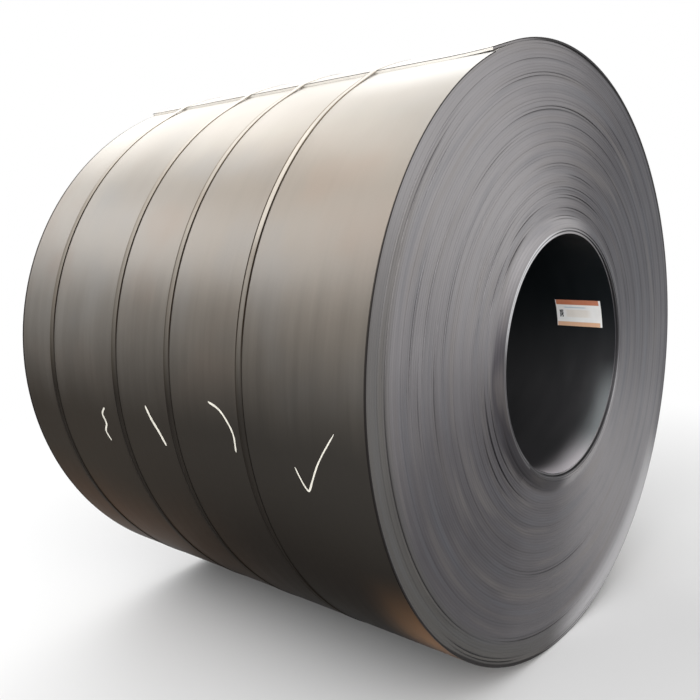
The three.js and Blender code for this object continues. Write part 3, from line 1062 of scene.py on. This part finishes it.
def label():
    columns, rows = 40, 16
    bpy.ops.mesh.primitive_grid_add(x_subdivisions=columns, y_subdivisions=rows)
    piece = named("paper_label")
    x = np.linspace(0, 1, columns + 1)
    half = math.degrees(LABEL_HEIGHT / 2 / BORE_RADIUS)
    points = []
    for up in np.linspace(-1, 1, rows + 1):
        degrees = LABEL_ANGLE + up * half
        curl = LABEL_CURL * np.clip(np.abs(2 * x - 1) + abs(up) - CURL_START, 0, 1) ** 1.5
        radius = bore_radius(degrees) - GAP - curl
        points.append(round_axis(LABEL_LOW.x + x * LABEL_LENGTH, radius, math.radians(degrees)))
    put(piece, np.concatenate(points))
    face_outward(piece)
    modified(piece, "SOLIDIFY", thickness=LABEL_THICKNESS, offset=-1.0)
    smoothed(piece)
    finished(piece, label_paper())
    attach(piece, "root")
    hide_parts("bore_label")


label()

# ---- Chalk marks --------------------------------------------------------------------------

CHALK_ANGLE = 190            # the level that the strokes are laid out from, in degrees
CHALK_THICKNESS = 0.3 * MM
CHALK_LIFT = 0.05 * MM       # how far it starts off the scale
CHALK_COLOURS = ((0.84, 0.81, 0.73), (0.62, 0.59, 0.51))
# Each stroke: its widths in mm at its start, middle and end, and its course, as distance from
# the near end and height above the level, in mm.
CHALK_STROKES = [
    ((7, 8.5, 6), [(1072, 24), (1090, 2), (1080, -28), (1094, -56), (1078, -86)]),
    ((8, 10.5, 8.5), [(846, 58), (826, 22), (800, -14), (778, -54)]),
    ((7, 6, 6), [(550, 106), (508, 90), (478, 60), (461, 26), (462, -20)]),
    ((4, 6.5, 3.5), [(244, -22), (232, -50), (219, -74), (209, -78), (194, -54), (158, 6),
                     (98, 84)]),
]


def smooth_course(corners, steps=10):
    """A smooth path through its corners (Catmull-Rom), as an array of points."""
    corners = np.array(corners, dtype=float)
    before = 2 * corners[:1] - corners[1:2]
    after = 2 * corners[-1:] - corners[-2:-1]
    padded = np.concatenate([before, corners, after])
    parts = []
    for a, b, c, d in zip(padded, padded[1:], padded[2:], padded[3:]):
        t = np.linspace(0, 1, steps, endpoint=False)[:, None]
        parts.append(0.5 * (2 * b + (c - a) * t + (2 * a - 5 * b + 4 * c - d) * t**2
                            + (3 * b - a - 3 * c + d) * t**3))
    return np.concatenate([*parts, corners[-1:]])


def chalk():
    finish = Finish("chalk")
    coarse = finish.cloud(420.0, 3.0, 0.7)
    patch = finish.cloud(60.0)
    return finish.surface(
        Base_Color=finish.blend(coarse, *CHALK_COLOURS),
        Roughness=0.95,
        Alpha=0.25 + 0.75 * (coarse + 0.5 * patch).step(0.45, 0.72),
        Normal=finish.bump(coarse, 0.3 * MM),
    )


def chalk_stroke(index, widths, corners, finish):
    """One stroke laid on the coil, as wide as the stick that drew it."""
    course = smooth_course(corners)
    heading = np.gradient(course, axis=0)
    heading /= np.linalg.norm(heading, axis=1)[:, None]
    side = np.stack([-heading[:, 1], heading[:, 0]], axis=1)
    share = np.linspace(0, 1, len(course))
    shaky = 0.92 + 0.08 * np.sin(37 * share + index)
    blunt = 0.35 + 0.65 * np.sqrt(np.clip(np.minimum(share, 1 - share) * 22, 0, 1))
    width = np.interp(share, (0, 0.5, 1), widths) * shaky * blunt
    bpy.ops.mesh.primitive_grid_add(x_subdivisions=len(course) - 1, y_subdivisions=2)
    piece = named(f"chalk_mark_{index}")
    points = []
    for across in (-0.5, 0.0, 0.5):
        edge = course + side * (width * across)[:, None]
        degrees = CHALK_ANGLE - np.degrees(edge[:, 1] * MM / OUTER_RADIUS)
        radius = np.array([wound_radius(angle) for angle in degrees]) + CHALK_LIFT
        points.append(round_axis(NEAR_END - edge[:, 0] * MM, radius, np.radians(degrees)))
    put(piece, np.concatenate(points))
    face_outward(piece)
    modified(piece, "SOLIDIFY", thickness=CHALK_THICKNESS, offset=1.0)
    smoothed(piece)
    finished(piece, finish)
    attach(piece, "root")


chalk_finish = chalk()
for number, (widths, corners) in enumerate(CHALK_STROKES, start=1):
    chalk_stroke(number, widths, corners, chalk_finish)

# ---- Stage --------------------------------------------------------------------------------

WHITE = (1.0, 1.0, 1.0, 1.0)
FLOOR_GREY = (0.82, 0.82, 0.82, 1.0)
FLOOR_SIZE = 80
FLOOR_WHITENS = (1.6, 4.2)   # how far from the coil the floor begins to turn white and is white
BACKDROP_LIGHT = 0.45        # how brightly the backdrop lights the coil
# Two softboxes over the far side: each one's bearing in degrees and its radiance.
OVERHEAD = ((155, 2.35), (205, 1.75))
OVERHEAD_HEIGHT = 0.80       # of their direction, to 1 along the floor
OVERHEAD_DISTANCE = 6.5
OVERHEAD_SIZE = (5.6, 5.0)
FRONT_FILL = {
    "direction": (0.60, -0.64, 0.46), "distance": 5.5, "size": (7.0, 6.0), "radiance": 2.6,
}


def add_light(name, direction, distance, size, radiance):
    """A square softbox that faces the coil's middle, as bright as a radiance."""
    data = bpy.data.lights.new(name, "AREA")
    data.shape = "RECTANGLE"
    data.size, data.size_y = size
    data.energy = radiance * math.pi * size[0] * size[1]
    light = bpy.data.objects.new(name, data)
    bpy.context.scene.collection.objects.link(light)
    toward = Vector(direction).normalized()
    light.location = Vector((0, 0, AXIS.z)) + toward * distance
    light.rotation_euler = toward.to_track_quat("Z", "Y").to_euler()
    light.visible_camera = False


def add_floor():
    """A pale floor that turns as white as the backdrop some way from the coil."""
    bpy.ops.mesh.primitive_plane_add(size=FLOOR_SIZE)
    floor = named("floor")
    finish = Finish("pale_floor")
    near = finish.node("ShaderNodeBsdfDiffuse", inputs={"Color": FLOOR_GREY})
    white = finish.node("ShaderNodeEmission", inputs={"Color": WHITE})
    away = (finish.x * finish.x + finish.y * finish.y) ** 0.5
    share = away.step(*FLOOR_WHITENS) * finish.seen_directly()
    finish.output(finish.node("ShaderNodeMixShader", inputs=(share, near, white)))
    finished(floor, finish)


def add_world():
    """A plain white backdrop that lights the coil more dimly than it shows."""
    world = bpy.data.worlds.new("studio")
    bpy.context.scene.world = world
    world.use_nodes = True
    backdrop = Nodes(world.node_tree)
    strength = BACKDROP_LIGHT + (1 - BACKDROP_LIGHT) * backdrop.seen_directly()
    shader = backdrop.node("ShaderNodeBackground", inputs={"Color": WHITE, "Strength": strength})
    backdrop.node("ShaderNodeOutputWorld", inputs={"Surface": shader})


add_camera()
add_floor()
add_world()
for bearing, radiance in OVERHEAD:
    aim = math.radians(bearing)
    direction = (math.cos(aim), math.sin(aim), OVERHEAD_HEIGHT)
    add_light(f"softbox_{bearing}", direction, OVERHEAD_DISTANCE, OVERHEAD_SIZE, radiance)
add_light("front_fill", **FRONT_FILL)

bpy.context.scene.view_settings.view_transform = "Standard"
